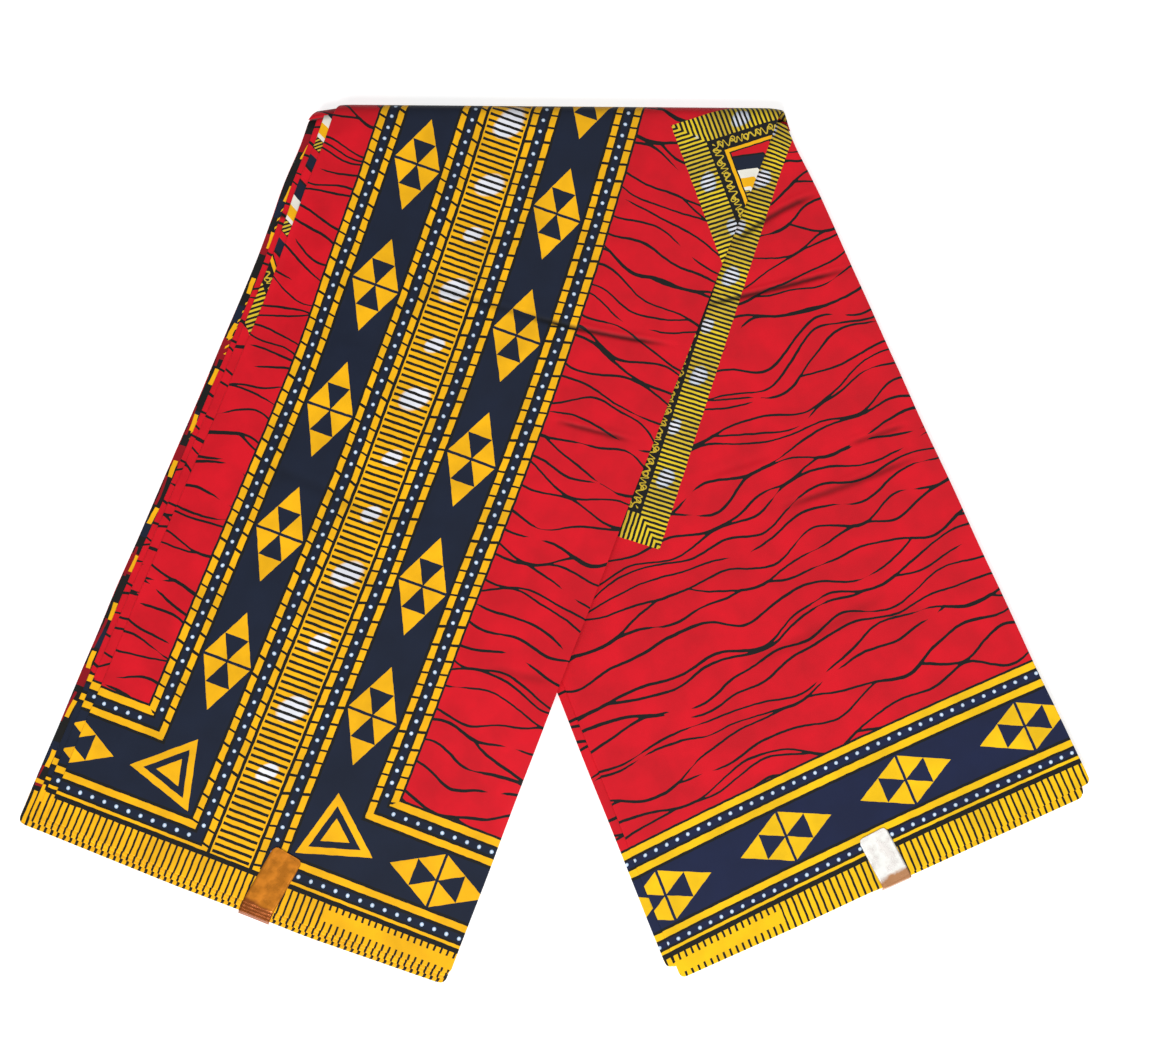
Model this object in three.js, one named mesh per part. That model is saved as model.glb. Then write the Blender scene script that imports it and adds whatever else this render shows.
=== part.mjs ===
import * as THREE from "three";

// A six yard length of wax print cotton as it is sold: folded along its length into a long flat strip,
// and the strip folded once across, so that two legs spread from the top fold. The left leg lies on the right.
// Plan: x to the right, y up the strip towards the top fold, z up from the table.

// Driving dimensions, in millimetres and degrees
const wall = 1.1; // one fold of the cloth: two layers pressed together
const gap = 0.3; // between neighbouring folds
const innerFolds = 4.8; // height of the folds that stay hidden, in the left leg
const fold = wall + gap;
const legHeight = innerFolds + 3 * fold;
const turnRadius = legHeight + gap / 2; // outside of the cloth where it turns over at the top fold
const turnSteps = 10;
const topFold = { front: 310.8, tilt: -0.5 }; // y of its front at x = 0, and its slope
const cornerRadius = 4; // of each selvedge corner
const placeShift = { x: 22.05, y: -1.12 }; // brings the middle of the whole outline to x = y = 0

// A leg's own directions: along runs from the middle of the outline to its selvedge, across to its right
const legs = {
  left: { lean: -20.46, rows: 25 },
  right: { lean: 21.8, rows: 10 },
};

// Across positions of the folded edges of each top cloth, from its selvedge (0) to the top fold (1)
const edgeLines = {
  left: [
    { at: 0, left: -273.6, right: 20.6 },
    { at: 0.3, left: -274.8, right: 21.8 },
    { at: 0.6, left: -274.2, right: 23.4 },
    { at: 0.85, left: -275.4, right: 25 },
    { at: 0.96, left: -277.4, right: 26.2 },
    { at: 1, left: -279, right: 25.4 },
  ],
  right: [
    { at: 0, left: -56.3, right: 252 },
    { at: 0.15, left: -56.5, right: 249.9 },
    { at: 0.35, left: -57, right: 248.5 },
    { at: 0.55, left: -57.4, right: 247.3 },
    { at: 1, left: -57.8, right: 247 },
  ],
};

// Where the top cloth's selvedge lies along each leg, from its left edge (0) to its right edge (1)
const selvedges = {
  left: [
    { at: 0, reach: 320.5 },
    { at: 0.33, reach: 323 },
    { at: 0.66, reach: 323.6 },
    { at: 1, reach: 319.6 },
  ],
  right: [
    { at: 0, reach: 308.4 },
    { at: 0.28, reach: 306.2 },
    { at: 0.45, reach: 304 },
    { at: 0.6, reach: 301 },
    { at: 0.8, reach: 296.6 },
    { at: 1, reach: 292.4 },
  ],
};

// How far the edges of the lower folds lie outside those of the top cloth: at the left and right folds,
// and past the selvedge at its left end, middle and right end. Each table runs from the highest fold down.
const lowerFolds = {
  left: [
    { name: "second_fold_left_leg", left: 7, right: -1, endLeft: 2.2, endMiddle: 1.8, endRight: 2 },
    { name: "third_fold_left_leg", left: 11.5, right: -2, endLeft: 4.4, endMiddle: 3.4, endRight: 4 },
  ],
  right: [{ name: "second_fold_right_leg", left: 6.2, right: -8, endLeft: -9.4, endMiddle: 1.2, endRight: 7 }],
};
const hiddenFolds = {
  left: [
    { left: 17.4, right: -3, endLeft: 5.4, endMiddle: 4.2, endRight: 4.8 },
    { left: 18, right: -1.6, endLeft: 6.6, endMiddle: 4.8, endRight: 5.6 },
    { left: 16.8, right: -3.4, endLeft: 7, endMiddle: 5.2, endRight: 5.9 },
    { left: 17.6, right: -2.2, endLeft: 6.2, endMiddle: 4.6, endRight: 5.2 },
  ],
  right: [
    { left: 4.2, right: -6.6, endLeft: -8.6, endMiddle: 0.4, endRight: 6.1 },
    { left: 5.4, right: -7.6, endLeft: -9.2, endMiddle: 1.4, endRight: 7.1 },
    { left: 3.8, right: -5.8, endLeft: -8.2, endMiddle: 0.6, endRight: 5.7 },
    { left: 5, right: -7.2, endLeft: -8.8, endMiddle: 1.2, endRight: 6.7 },
    { left: 4.4, right: -6.4, endLeft: -8.4, endMiddle: 0.8, endRight: 6.3 },
  ],
};
const topCloth = { left: 0, right: 0, endLeft: 0, endMiddle: 0, endRight: 0 };

// The left leg leaves the right one in a soft slope: it is up at full height this far outside the right
// leg's left edge, and down on the table after the slope. The top fold lifts it in the same way.
const slope = { start: 26, length: 66, underTopFold: 80 };

// Two foil labels, stuck on the top cloth and down over the selvedges: the middle of the upper end in plan,
// the way that they run down, and their width
const labels = {
  foil_label_left_leg: { leg: "left", x: -201.5, y: -225.5, lean: -29, width: 22 },
  foil_label_right_leg: { leg: "right", x: 192, y: -212.2, lean: 27, width: 21 },
};
const labelWall = 0.5;
const labelGap = 0.35;
const labelDrop = 1.4; // a label comes down past a selvedge within this distance
const labelCorner = 2; // its upper corners are cut back by this

// Directions and the line that the cloth turns about
const radians = THREE.MathUtils.degToRad;
const foldAlong = new THREE.Vector2(Math.cos(radians(topFold.tilt)), Math.sin(radians(topFold.tilt)));
const foldOut = new THREE.Vector2(-foldAlong.y, foldAlong.x);
const foldDistance = topFold.front * foldOut.y - turnRadius;

for (const leg of Object.values(legs)) {
  const angle = radians(leg.lean);
  leg.down = new THREE.Vector2(Math.sin(angle), -Math.cos(angle));
  leg.across = new THREE.Vector2(Math.cos(angle), Math.sin(angle));
}

function inPlan(leg, along, across) {
  return new THREE.Vector2(
    leg.down.x * along + leg.across.x * across,
    leg.down.y * along + leg.across.y * across,
  );
}

// Where the line at this across position meets the turning line of the top fold
function alongAtFold(leg, across) {
  return (foldDistance - leg.across.dot(foldOut) * across) / leg.down.dot(foldOut);
}

// A value from a table with an at column, between its rows
function fromTable(table, at, column) {
  const last = table.length - 1;
  if (at <= table[0].at) return table[0][column];
  if (at >= table[last].at) return table[last][column];
  const next = table.findIndex((row) => row.at > at);
  const low = table[next - 1];
  const high = table[next];
  return THREE.MathUtils.lerp(low[column], high[column], (at - low.at) / (high.at - low.at));
}

// Along position of a fold's selvedge, rounded off at both corners
function selvedgeOf(side, edges, across) {
  const { left, right } = edgeLines[side][0];
  const at = (across - left) / (right - left);
  const beyond = fromTable(
    [
      { at: 0, out: edges.endLeft },
      { at: 0.5, out: edges.endMiddle },
      { at: 1, out: edges.endRight },
    ],
    at,
    "out",
  );
  const fromSide = Math.min(across - (left - edges.left), right + edges.right - across);
  const inCorner = Math.max(cornerRadius - Math.max(fromSide, 0), 0);
  const cutOff = cornerRadius - Math.sqrt(cornerRadius ** 2 - inCorner ** 2);
  return fromTable(selvedges[side], at, "reach") + beyond - cutOff;
}

// Height of the left leg's underside: on the right leg, down its slope, and on the table
function restHeight(side, point) {
  if (side === "right") return 0;
  const outermost = Math.max(...lowerFolds.right.map((row) => row.left));
  const inside = point.dot(legs.right.across) - (fromTable(edgeLines.right, 0.5, "left") - outermost);
  const onRightLeg = THREE.MathUtils.smoothstep(inside, -slope.start - slope.length, -slope.start);
  const belowFold = foldDistance - point.dot(foldOut);
  const byTopFold = 1 - THREE.MathUtils.smoothstep(belowFold, 0, slope.underTopFold);
  return (legHeight + gap) * (1 - (1 - onRightLeg) * (1 - byTopFold));
}

// The across positions of a leg's columns and the steps of its rows. Only the outer columns and the last
// row differ from fold to fold, so that the folds lie in each other's shape.
const edgeColumns = [0, 1.6, 4.2];
const innerColumns = [0.04, 0.14, 0.26, 0.38, 0.5, 0.62, 0.74, 0.86, 0.96];
const lastRow = 12; // this far short of the top cloth's selvedge

// How far a row is on its way from the selvedge (0) to the top fold (1)
function shareOf(side, row) {
  return THREE.MathUtils.clamp((row - 1) / (legs[side].rows - 1), 0, 1);
}

function columnsOf(side, edges, row) {
  const left = fromTable(edgeLines[side], shareOf(side, row), "left");
  const right = fromTable(edgeLines[side], shareOf(side, row), "right");
  return [
    ...edgeColumns.map((step) => left - edges.left + step),
    ...innerColumns.map((share) => THREE.MathUtils.lerp(left, right, share)),
    ...edgeColumns.map((step) => right + edges.right - step).reverse(),
  ];
}

// Along position of a row, which is a straight line across the leg between selvedge and top fold
function alongOf(side, across, row) {
  const first = fromTable(selvedges[side], 0.5, "reach") - lastRow;
  return THREE.MathUtils.lerp(first, alongAtFold(legs[side], across), shareOf(side, row));
}

// A point of a fold at a column and a row, at a height above where its leg rests. Rows run from the
// selvedge to the top fold, and any row past that lies on the turn. inset draws the folded edges in.
function pointOf(side, edges, inset, height, column, row) {
  const leg = legs[side];
  const columns = columnsOf(side, edges, row);
  const last = columns.length - 1;
  const edgeCount = edgeColumns.length;
  let across = columns[column];
  if (column === 0) across += inset;
  if (column === last) across -= inset;
  const along = row === 0 ? selvedgeOf(side, edges, columns[column]) - inset : alongOf(side, across, row);
  const plan = inPlan(leg, along, across);
  if (row <= leg.rows) {
    const level = columns[THREE.MathUtils.clamp(column, edgeCount, last - edgeCount)];
    const under = inPlan(leg, alongOf(side, level, Math.max(row, 1)), level);
    return new THREE.Vector3(plan.x, plan.y, restHeight(side, under) + height);
  }
  const turn = ((row - leg.rows) / turnSteps) * Math.PI;
  const radius = legHeight + gap + height - turnRadius;
  const drift = (turnRadius * turn * leg.down.dot(foldAlong)) / leg.down.dot(foldOut);
  plan.addScaledVector(foldAlong, drift).addScaledVector(foldOut, radius * Math.sin(turn));
  return new THREE.Vector3(plan.x, plan.y, turnRadius + radius * Math.cos(turn));
}

// A closed surface from rings that all have the same columns and rows: the first ring's grid is the
// underside, the last one's the top, and the rings' rims make the sides between them.
function closedStack(side, rings, rows) {
  const columns = edgeColumns.length * 2 + innerColumns.length;
  const corners = [];
  const rimOf = [];
  for (let row = 0; row < rows; row += 1) rimOf.push([0, row]);
  for (let column = 0; column < columns - 1; column += 1) rimOf.push([column, rows]);
  for (let row = rows; row > 0; row -= 1) rimOf.push([columns - 1, row]);
  for (let column = columns - 1; column > 0; column -= 1) rimOf.push([column, 0]);
  const at = (ring, column, row) => pointOf(side, ring.edges, ring.inset, ring.height, column, row);

  for (const [ring, facesUp] of [
    [rings[0], false],
    [rings[rings.length - 1], true],
  ]) {
    for (let column = 0; column < columns - 1; column += 1) {
      for (let row = 0; row < rows; row += 1) {
        const a = at(ring, column, row);
        const b = at(ring, column + 1, row);
        const c = at(ring, column + 1, row + 1);
        const d = at(ring, column, row + 1);
        corners.push(...(facesUp ? [a, b, d, b, c, d] : [b, a, d, c, b, d]));
      }
    }
  }
  for (let level = 0; level < rings.length - 1; level += 1) {
    rimOf.forEach(([column, row], index) => {
      const [nextColumn, nextRow] = rimOf[(index + 1) % rimOf.length];
      const a = at(rings[level], column, row);
      const b = at(rings[level], nextColumn, nextRow);
      const c = at(rings[level + 1], nextColumn, nextRow);
      const d = at(rings[level + 1], column, row);
      corners.push(a, d, b, b, d, c);
    });
  }
  return new THREE.BufferGeometry().setFromPoints(corners);
}

// One fold of cloth: a wall whose edges are round
function foldedSheet(side, edges, low, rows) {
  const radius = wall / 2;
  const rings = [-90, -45, 0, 45, 90].map((angle) => ({
    edges,
    inset: radius * (1 - Math.cos(radians(angle))),
    height: low + radius * (1 + Math.sin(radians(angle))),
  }));
  return closedStack(side, rings, rows);
}

// The hidden folds of a leg: one body with a soft ridge for each fold round its edges
function hiddenStack(side, height) {
  const ridges = [...hiddenFolds[side]].reverse();
  const ridge = height / ridges.length;
  const rings = ridges.flatMap((edges, index) => [
    { edges, inset: ridge / 2, height: index * ridge },
    { edges, inset: 0, height: (index + 0.5) * ridge },
  ]);
  rings.push({ edges: ridges[ridges.length - 1], inset: ridge / 2, height });
  return closedStack(side, rings, legs[side].rows);
}

// The hidden folds where they turn over at the top fold: a half round with ridged ends
function turnedStack() {
  const radius = turnRadius - wall - 2 * gap;
  const levels = [1, 0.86, 0.72, 0.58, 0.44, 0.3, 0.16, 0];
  const ridge = 0.9;
  const ends = ["left", "right"].map((side) => {
    const leg = legs[side];
    const line = edgeLines[side][edgeLines[side].length - 1];
    const edges = hiddenFolds[side][0];
    return [line.left - edges.left, line.right + edges.right].map(
      (across) => inPlan(leg, alongAtFold(leg, across), across).dot(foldAlong),
    );
  });
  const point = (end, level, step) => {
    const turn = (step / turnSteps) * Math.PI;
    const out = end === 0 ? -1 : 1;
    const edge = THREE.MathUtils.lerp(ends[0][end], ends[1][end], step / turnSteps);
    const along = edge + (level % 2 ? 0 : -ridge * out);
    const reach = radius * levels[level];
    const plan = foldAlong
      .clone()
      .multiplyScalar(along)
      .addScaledVector(foldOut, foldDistance + gap + reach * Math.sin(turn));
    return new THREE.Vector3(plan.x, plan.y, turnRadius + reach * Math.cos(turn));
  };
  const corners = [];
  const quad = (a, b, c, d) => corners.push(a, c, b, a, d, c);
  const centre = levels.length - 1;
  for (let step = 0; step < turnSteps; step += 1) {
    quad(point(0, 0, step), point(0, 0, step + 1), point(1, 0, step + 1), point(1, 0, step));
    for (let level = 0; level < centre; level += 1) {
      const next = level + 1;
      if (next === centre) {
        corners.push(point(0, level, step), point(0, level, step + 1), point(0, next, 0));
        corners.push(point(1, level, step), point(1, next, 0), point(1, level, step + 1));
      } else {
        quad(point(0, level, step), point(0, next, step), point(0, next, step + 1), point(0, level, step + 1));
        quad(point(1, level, step), point(1, level, step + 1), point(1, next, step + 1), point(1, next, step));
      }
    }
  }
  for (const step of [0, turnSteps]) {
    for (let level = 0; level < centre; level += 1) {
      const innerStep = level + 1 === centre ? 0 : step;
      const a = point(0, level, step);
      const b = point(1, level, step);
      const c = point(1, level + 1, innerStep);
      const d = point(0, level + 1, innerStep);
      if (step === 0) quad(a, b, c, d);
      else quad(a, d, c, b);
    }
  }
  return new THREE.BufferGeometry().setFromPoints(corners);
}

// The folds of a leg from the top down, each with the height of its upper side on the table
function foldsOf(side) {
  const walls = [topCloth, ...lowerFolds[side]].map((edges, index) => ({ edges, top: legHeight - index * fold }));
  const hiddenTop = legHeight - walls.length * fold;
  const ridges = hiddenFolds[side];
  return [...walls, ...ridges.map((edges, index) => ({ edges, top: hiddenTop * (1 - index / ridges.length) }))];
}

// Height under a label: the highest of the folds there, each with a short slope past its selvedge
function faceUnder(side, plan) {
  const along = plan.dot(legs[side].down);
  const across = plan.dot(legs[side].across);
  const heights = foldsOf(side).map(({ edges, top }) => {
    const past = along - selvedgeOf(side, edges, across) - labelGap;
    return top * (1 - THREE.MathUtils.clamp(past / labelDrop, 0, 1));
  });
  return Math.max(...heights);
}

// A foil label: a thin strip that follows the face under it and ends just above the table
function foilLabel({ leg, x, y, lean, width }) {
  const down = new THREE.Vector2(Math.sin(radians(lean)), -Math.cos(radians(lean)));
  const across = new THREE.Vector2(-down.y, down.x);
  const side = legs[leg];
  const sides = [-0.5, -0.4, -0.14, 0.14, 0.4, 0.5];
  const faceRows = [0, 0.3, 0.65, 0.95];
  const folds = foldsOf(leg);
  const stations = faceRows.length + 2 * folds.length - 1;
  // Distances at which the label starts to come down past each fold, and has come down
  const stepsOf = (start) => {
    const distanceTo = (edges, from) =>
      (selvedgeOf(leg, edges, start.clone().addScaledVector(down, from).dot(side.across)) -
        start.dot(side.down)) / down.dot(side.down);
    return folds
      .map(({ edges }) => distanceTo(edges, distanceTo(edges, 0)) + labelGap / down.dot(side.down))
      .flatMap((step) => [step, step + labelDrop])
      .sort((a, b) => a - b);
  };
  const point = (column, row, top) => {
    const plan = new THREE.Vector2(x, y).addScaledVector(across, sides[column] * width);
    const steps = stepsOf(plan);
    const start = column === 0 || column === sides.length - 1 ? labelCorner : 0;
    const onFace = row < faceRows.length;
    const distance = onFace
      ? THREE.MathUtils.lerp(start, steps[0], faceRows[row])
      : steps[row - faceRows.length];
    plan.addScaledVector(down, distance);
    const height = faceUnder(leg, plan) + labelGap + (top ? labelWall : 0);
    if (top && !onFace) plan.addScaledVector(down, labelWall);
    return new THREE.Vector3(plan.x, plan.y, height);
  };
  const corners = [];
  const quad = (a, b, c, d) => corners.push(a, b, c, a, c, d);
  const last = sides.length - 1;
  for (let row = 0; row < stations; row += 1) {
    for (let column = 0; column < last; column += 1) {
      quad(
        point(column, row, true),
        point(column, row + 1, true),
        point(column + 1, row + 1, true),
        point(column + 1, row, true),
      );
      quad(
        point(column, row, false),
        point(column + 1, row, false),
        point(column + 1, row + 1, false),
        point(column, row + 1, false),
      );
    }
    quad(point(0, row, true), point(0, row, false), point(0, row + 1, false), point(0, row + 1, true));
    quad(point(last, row, true), point(last, row + 1, true), point(last, row + 1, false), point(last, row, false));
  }
  for (let column = 0; column < last; column += 1) {
    quad(point(column, 0, true), point(column + 1, 0, true), point(column + 1, 0, false), point(column, 0, false));
    quad(
      point(column, stations, true),
      point(column, stations, false),
      point(column + 1, stations, false),
      point(column + 1, stations, true),
    );
  }
  return new THREE.BufferGeometry().setFromPoints(corners);
}

// Finishes
const printedCotton = () => new THREE.MeshStandardMaterial({ color: "#d2172c", roughness: 0.72, metalness: 0 });
const foldedEdges = () => new THREE.MeshStandardMaterial({ color: "#b3182a", roughness: 0.8, metalness: 0 });
const copperFoil = () => new THREE.MeshStandardMaterial({ color: "#c87a1e", roughness: 0.3, metalness: 0.85 });
const whiteFoil = () => new THREE.MeshStandardMaterial({ color: "#f1e9e2", roughness: 0.28, metalness: 0.6 });

const cloth = new THREE.Group();
cloth.name = "folded_length";
cloth.position.set(placeShift.x, placeShift.y, 0);

function add(name, geometry, material) {
  const mesh = new THREE.Mesh(geometry, material);
  mesh.name = name;
  cloth.add(mesh);
}

for (const side of ["left", "right"]) {
  const rows = legs[side].rows;
  const topLow = legHeight - wall;
  const turned = side === "left" ? turnSteps : 0;
  add(`top_cloth_${side}_leg`, foldedSheet(side, topCloth, topLow, rows + turned), printedCotton());
  lowerFolds[side].forEach((edges, index) => {
    add(edges.name, foldedSheet(side, edges, topLow - (index + 1) * fold, rows), printedCotton());
  });
  const hiddenTop = legHeight - (lowerFolds[side].length + 1) * fold;
  add(`inner_folds_${side}_leg`, hiddenStack(side, hiddenTop), foldedEdges());
}
add("turned_folds", turnedStack(), foldedEdges());
add("foil_label_left_leg", foilLabel(labels.foil_label_left_leg), copperFoil());
add("foil_label_right_leg", foilLabel(labels.foil_label_right_leg), whiteFoil());

const part = new THREE.Group();
part.name = "wax_print_cloth";
part.add(cloth);

export default part;
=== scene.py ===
import math

import bmesh
import bpy
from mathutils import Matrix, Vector, noise


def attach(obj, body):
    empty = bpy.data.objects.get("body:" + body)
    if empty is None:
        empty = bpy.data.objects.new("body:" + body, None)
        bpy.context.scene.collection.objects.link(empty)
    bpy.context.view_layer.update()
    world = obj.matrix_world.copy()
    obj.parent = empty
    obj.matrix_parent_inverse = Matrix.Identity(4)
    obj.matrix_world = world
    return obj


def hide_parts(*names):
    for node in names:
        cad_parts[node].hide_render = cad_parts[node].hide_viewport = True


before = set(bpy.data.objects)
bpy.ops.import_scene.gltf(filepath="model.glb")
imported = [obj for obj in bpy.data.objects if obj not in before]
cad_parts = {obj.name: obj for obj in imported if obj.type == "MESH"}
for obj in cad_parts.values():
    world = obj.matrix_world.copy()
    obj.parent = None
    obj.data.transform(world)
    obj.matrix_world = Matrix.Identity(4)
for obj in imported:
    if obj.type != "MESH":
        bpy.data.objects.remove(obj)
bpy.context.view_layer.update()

mm = 0.001


# A shader socket that Python's own operators work on
class Wire:
    def __init__(self, tree, socket=None):
        self.tree = tree
        self.socket = socket

    def node(self, kind, settings=None, values=None, output=0):
        made = self.tree.nodes.new(kind)
        for key, value in (settings or {}).items():
            if key == "stops":
                fillRamp(made.color_ramp, value)
            elif key == "points":
                fillCurve(made.mapping, value)
            else:
                setattr(made, key, value)
        for key, value in (values or {}).items():
            if isinstance(value, Wire):
                self.tree.links.new(value.socket, made.inputs[key])
            else:
                made.inputs[key].default_value = dyed(value)
        return Wire(self.tree, made.outputs[output])

    def out(self, name):
        return Wire(self.tree, self.socket.node.outputs[name])

    def calc(self, operation, *others):
        return self.node("ShaderNodeMath", {"operation": operation}, dict(enumerate((self, *others))))

    def flipped(self, operation, other):
        return self.node("ShaderNodeMath", {"operation": operation}, {0: other, 1: self})

    def __add__(self, other):
        return self.calc("ADD", other)

    def __sub__(self, other):
        return self.calc("SUBTRACT", other)

    def __mul__(self, other):
        return self.calc("MULTIPLY", other)

    def __truediv__(self, other):
        return self.calc("DIVIDE", other)

    def __rsub__(self, other):
        return self.flipped("SUBTRACT", other)

    def __rtruediv__(self, other):
        return self.flipped("DIVIDE", other)

    def __lt__(self, other):
        return self.calc("LESS_THAN", other)

    def __gt__(self, other):
        return self.calc("GREATER_THAN", other)

    def __abs__(self):
        return self.calc("ABSOLUTE")

    __radd__ = __add__
    __rmul__ = __mul__

    def lower(self, other):
        return self.calc("MINIMUM", other)

    def higher(self, other):
        return self.calc("MAXIMUM", other)

    def within(self, middle, reach):
        return self.calc("COMPARE", middle, reach)

    # Distance to the nearest multiple of pitch
    def off(self, pitch):
        return self.calc("PINGPONG", pitch / 2)

    def vector(self, operation, *others, output=0):
        return self.node(
            "ShaderNodeVectorMath", {"operation": operation}, dict(enumerate((self, *others))), output
        )

    def ramp(self, low, high, stops, smooth=False):
        share = (self - low) * (1 / (high - low))
        return share.node(
            "ShaderNodeValToRGB",
            {"stops": (smooth, [((at - low) / (high - low), colour) for at, colour in stops])},
            {"Fac": share},
        )

    # self where the mask is 0, other where it is 1
    def under(self, mask, other):
        return self.node("ShaderNodeMix", {"data_type": "RGBA"}, {0: mask, 6: self, 7: other}, output=2)

    # the first colour where self is 0, the second where it is 1
    def between(self, first, second):
        return self.node("ShaderNodeMix", {"data_type": "RGBA"}, {0: self, 6: first, 7: second}, output=2)

    # the same for two numbers
    def choose(self, first, second):
        return self.node("ShaderNodeMix", {}, {0: self, 2: first, 3: second})

    def grain(self, scale, detail):
        values = {"Vector": self, "Scale": scale, "Detail": detail}
        return self.node("ShaderNodeTexNoise", {"noise_dimensions": "2D"}, values)


def fillRamp(colourRamp, smoothAndStops):
    smooth, stops = smoothAndStops
    colourRamp.interpolation = "LINEAR" if smooth else "CONSTANT"
    while len(colourRamp.elements) < len(stops):
        colourRamp.elements.new(0.5)
    for element, (at, colour) in zip(colourRamp.elements, stops):
        element.position = max(0.0, min(1.0, at))
        element.color = dyed(colour)


def fillCurve(mapping, points):
    curve = mapping.curves[0]
    while len(curve.points) < len(points):
        curve.points.new(0.5, 0.5)
    for point, (x, y) in zip(curve.points, points):
        point.location = (x, y)
        point.handle_type = "VECTOR"
    mapping.update()


def linear(red, green, blue):
    # from the 0 to 255 values that a paint program shows
    parts = [value / 255 for value in (red, green, blue)]
    return tuple(p / 12.92 if p <= 0.04045 else ((p + 0.055) / 1.055) ** 2.4 for p in parts) + (1.0,)


# A dye's name stands for its colour, in ramps and in Mix nodes
def dyed(value):
    return dyes[value] if isinstance(value, str) else value


def fromPoint(x, y):
    return (x * x + y * y).calc("SQRT")


def newMaterial(name):
    material = bpy.data.materials.new(name)
    material.use_nodes = True
    tree = material.node_tree
    shader = tree.nodes["Principled BSDF"]
    return material, tree, shader


dyes = {
    "red": linear(214, 9, 31),
    "deepRed": linear(150, 8, 24),
    "gold": linear(252, 186, 5),
    "limeGold": linear(214, 184, 50),
    "brass": linear(240, 210, 40),
    "brightGold": linear(252, 200, 6),
    "brightNavy": linear(24, 33, 66),
    "navy": linear(22, 31, 51),
    "ink": linear(22, 22, 21),
    "white": linear(240, 242, 250),
    "ice": linear(180, 206, 232),
    "cream": linear(244, 241, 228),
}


veinShape = {"sway": 18, "wander": 3.6, "joining": 0.16, "gapsBelow": 0.215, "half": 0.54, "swell": 0.65}


# Long branching veins: lines that wander along lanes, and run together where two would cross
def veins(across, along, pitch, seed):
    flat = across.node("ShaderNodeCombineXYZ", {}, {0: across, 1: along, 2: 0.0})
    sway = flat.vector("MULTIPLY_ADD", (0.011, 0.014, 0), (seed, seed * 2, 0)).grain(1.0, 0.0)
    level = (along + (sway - 0.5) * veinShape["sway"]) / pitch
    lane = level.calc("FLOOR")
    lines = []
    for step in (-2, -1, 0, 1):
        row = (lane + step) * 9.37 + seed
        track = across.node("ShaderNodeCombineXYZ", {}, {0: across * 0.0155, 1: row, 2: 0.0})
        lines.append(lane + step + 0.5 + (track.grain(1.0, 0.5) - 0.5) * veinShape["wander"])
    upper, middle, lower = [abs(level - one.higher(other)) for one, other in zip(lines, lines[1:])]
    join = veinShape["joining"]
    distance = upper.calc("SMOOTH_MIN", middle, join).calc("SMOOTH_MIN", lower, join) * pitch
    weight = flat.vector("MULTIPLY_ADD", (0.032, 0.06, 0), (seed * 3, seed, 0)).grain(1.0, 0.0)
    shown = ((weight - veinShape["gapsBelow"]) * 9).lower(1).higher(0)
    return distance < shown * (weight * veinShape["swell"] + veinShape["half"]) - 0.03


# A gold lozenge cut in smaller triangles. step and side run from 0 at its middle to 1 at its points
def lozenge(step, side):
    body = (step + side) < 1
    core = (step < 0.5) * (side < step)
    return body * (1 - core) * (step > 0.028)


# All lengths from the frame's outer edge inwards or along it, in millimetres
diamondFrame = {
    "toothPitch": 3.35,
    "toothHalf": 0.86,
    "teethTo": 20,
    "patchFrom": 11,
    "patchPitch": 39,
    "patchSize": (8.8, 6.4),
    "waveAt": 25.5,
    "waveHeight": 2.1,
    "loopAt": 24.6,
    "loopPitch": 9.7,
    "loopRadius": 1.7,
    "line": (30.4, 32.9),
    "panelsFrom": 34,
    "panelLength": 66,
}


# The frame of a large diamond: comb teeth, a wavy line of loops and a gold line, with panels inside it
def combFrame(across, along, corner, firstNormal, secondNormal, fanAt, bare=0):
    shape = diamondFrame
    x = across - corner[0]
    y = along - corner[1]
    first = x * firstNormal[0] + y * firstNormal[1]
    second = x * secondNormal[0] + y * secondNormal[1]
    depth = first.lower(second)
    step = first.higher(second)
    # white patches of a few teeth, every second one nearer the loops
    length, height = shape["patchSize"]
    fromFirst = step - shape["patchFrom"]
    inner = 1 - fromFirst.off(shape["patchPitch"] * 2) / shape["patchPitch"]
    patchStep = (fromFirst + (depth - 11) * 0.3).off(shape["patchPitch"]) / (length - inner * 2.6)
    patchDepth = (depth - 10.6 - inner * height) / (height - inner * 1.4)
    patch = ((1 - (patchStep * patchStep + patchDepth * patchDepth)) * 1.1).lower(1).higher(0)
    patch = patch * (step > bare)
    # painted gleam: the teeth's gold turns lighter and darker along the frame
    paintedGleam = (step * 0.13).calc("SINE") * 0.5 + 0.5
    tooth = paintedGleam.between("limeGold", "brass").under((patch * 2.2).lower(1), patch.between("ice", "white"))
    comb = tooth.under(step.off(shape["toothPitch"]) < shape["toothHalf"], "ink")
    # a wavy line with small loops on it, no two alike
    uneven = (step * 0.43).calc("SINE")
    swing = step * 1.3 + uneven * 0.9
    wave = abs(depth - shape["waveAt"] - swing.calc("SINE") * (uneven * 0.5 + shape["waveHeight"]))
    loop = fromPoint(depth - shape["loopAt"] - uneven, step.off(shape["loopPitch"]))
    curls = (wave < abs(swing.calc("COSINE")) * 0.75 + 0.42).higher(loop.within(shape["loopRadius"], 0.42))
    # slanting panels
    length = shape["panelLength"]
    slant = (along - fanAt[1] + 40 - abs(across - fanAt[0]) * 0.55).calc("FLOORED_MODULO", length)
    panels = slant.ramp(
        0,
        length,
        [
            (0, "navy"), (9, "ink"), (11, "red"), (21, "ink"), (22.5, "navy"),
            (34, "cream"), (41, "gold"), (49, "cream"), (52, "ink"), (61, "red"),
        ],
    )
    hatch = ((along + across * 0.7).off(3.4) < 0.8) * slant.within(56.5, 4)
    lineFrom, lineTo = shape["line"]
    ground = depth.ramp(20, 36, [(20, "ink"), (lineFrom, "gold"), (lineTo, "ink")])
    ground = ground.under(curls * (depth > shape["teethTo"] + 1), "limeGold")
    ground = ground.under(depth > shape["panelsFrom"], panels.under(hatch, "limeGold"))
    return depth > 0, ground.under(depth < shape["teethTo"], comb)


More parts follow.
